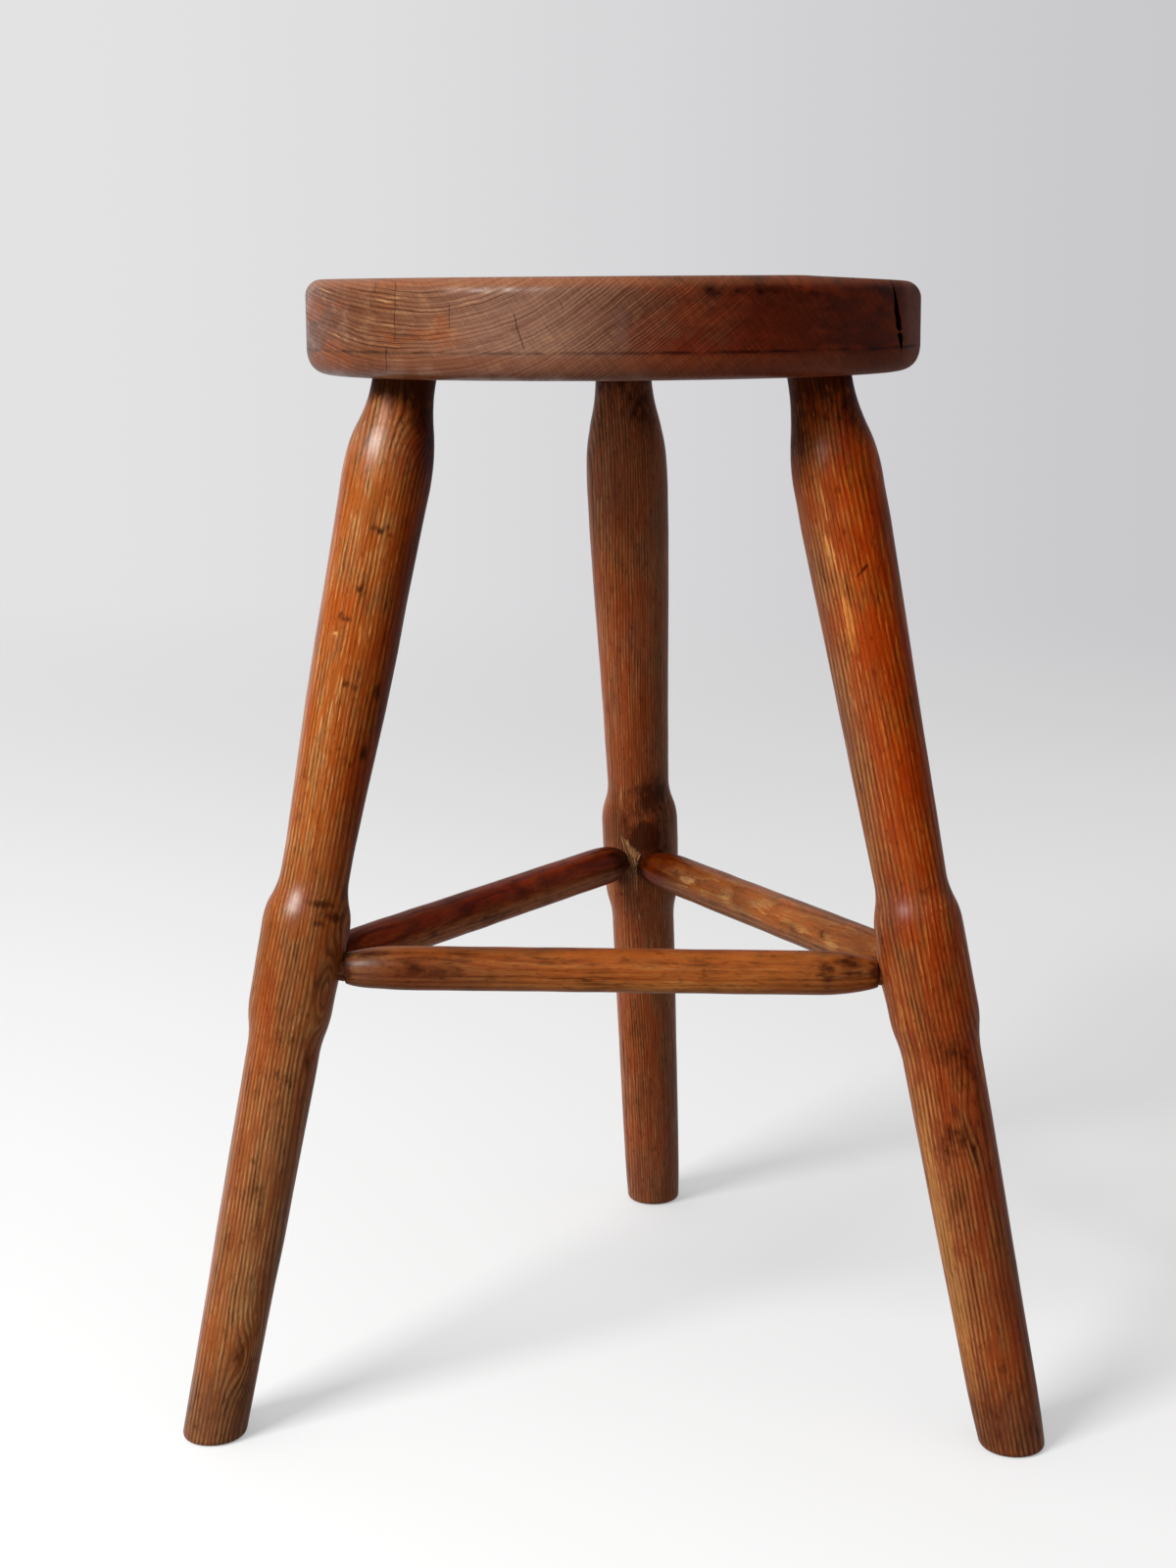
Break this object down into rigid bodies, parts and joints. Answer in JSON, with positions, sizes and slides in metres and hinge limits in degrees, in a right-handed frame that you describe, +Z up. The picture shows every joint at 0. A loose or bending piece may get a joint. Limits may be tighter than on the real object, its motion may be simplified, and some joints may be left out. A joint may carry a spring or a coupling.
{
  "type": "wooden stool",
  "caption": "Tall wooden stool with a thick round plank seat on splayed, turned legs tied by round stretchers.",
  "frame": {"origin": "on the floor, in the middle of the ground that the stool covers; the seat's own axis stands 46 mm nearer the front", "axes": "+Z up, +Y towards the back leg, +X towards the right front leg"},
  "size_m": [0.4252, 0.3965, 0.564],
  "materials": {
    "seat_wood": "satin",
    "leg_wood": "satin",
    "stretcher_wood": "satin"
  },
  "bodies": {
    "root": {"seat": "seat_wood", "leg_front_left": "leg_wood", "leg_front_right": "leg_wood", "leg_back": "leg_wood", "stretcher_front": "stretcher_wood", "stretcher_left": "stretcher_wood", "stretcher_right": "stretcher_wood"}
  },
  "joints": []
}
